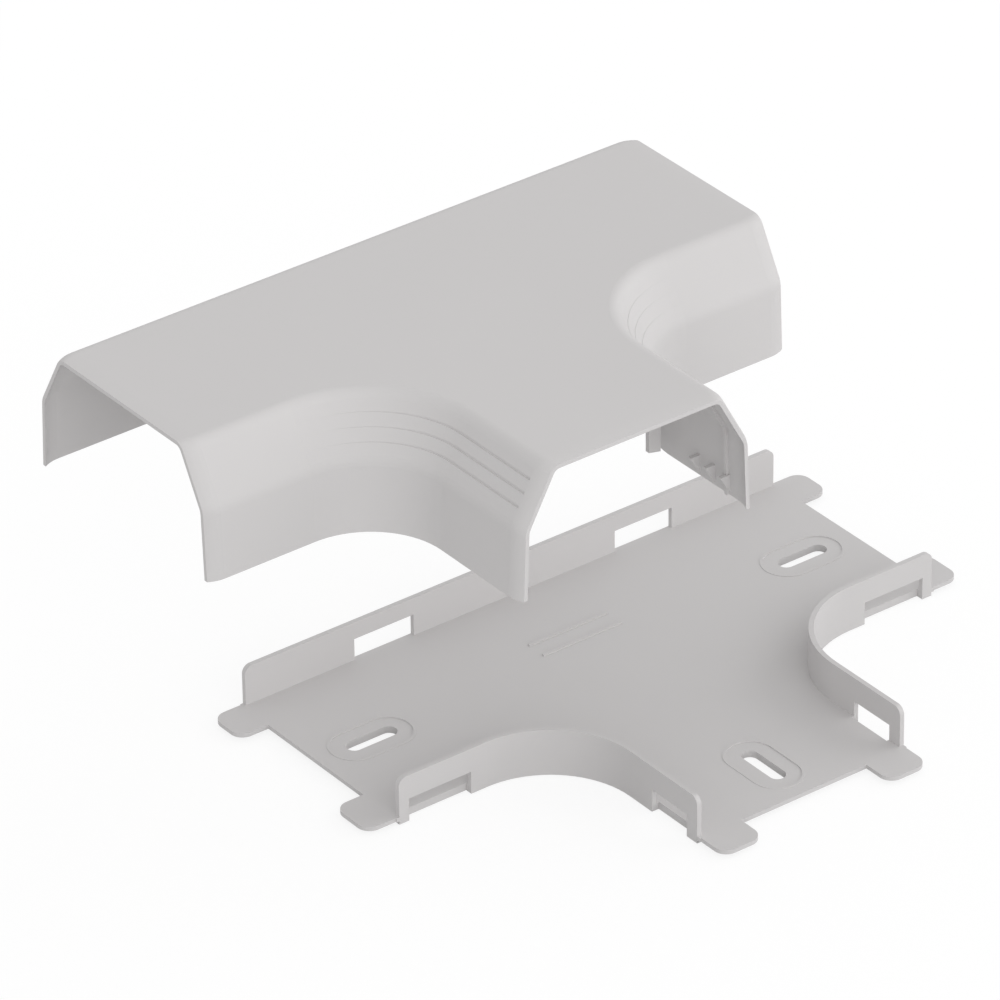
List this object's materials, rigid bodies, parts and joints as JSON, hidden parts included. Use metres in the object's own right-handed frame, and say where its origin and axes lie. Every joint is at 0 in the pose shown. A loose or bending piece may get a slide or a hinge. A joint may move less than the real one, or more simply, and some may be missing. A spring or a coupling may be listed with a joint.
{
  "type": "trunking tee fitting",
  "caption": "Two-piece tee for wall cable trunking: slotted base with clip windows and tongues, and a clip-on cover with angled shoulders and swept inner corners.",
  "frame": {"origin": "middle of the main run on the underside of the base, the face that lies against the wall", "axes": "+X along the main run, -Y along the branch, +Z away from the wall"},
  "size_m": [0.3574, 0.1969, 0.1923],
  "materials": {
    "base_plastic": "smooth satin moulding, pale warm grey",
    "cover_plastic": "smooth satin moulding, pale warm grey"
  },
  "bodies": {
    "base": {"tee_base": "base_plastic"},
    "cover": {"tee_cover": "cover_plastic"}
  },
  "joints": [
    {"name": "cover_lift", "type": "slide", "parent": "base", "child": "cover", "axis": [-0.4995, 0, 0.8663], "range_m": [-0.16218, 0]}
  ]
}
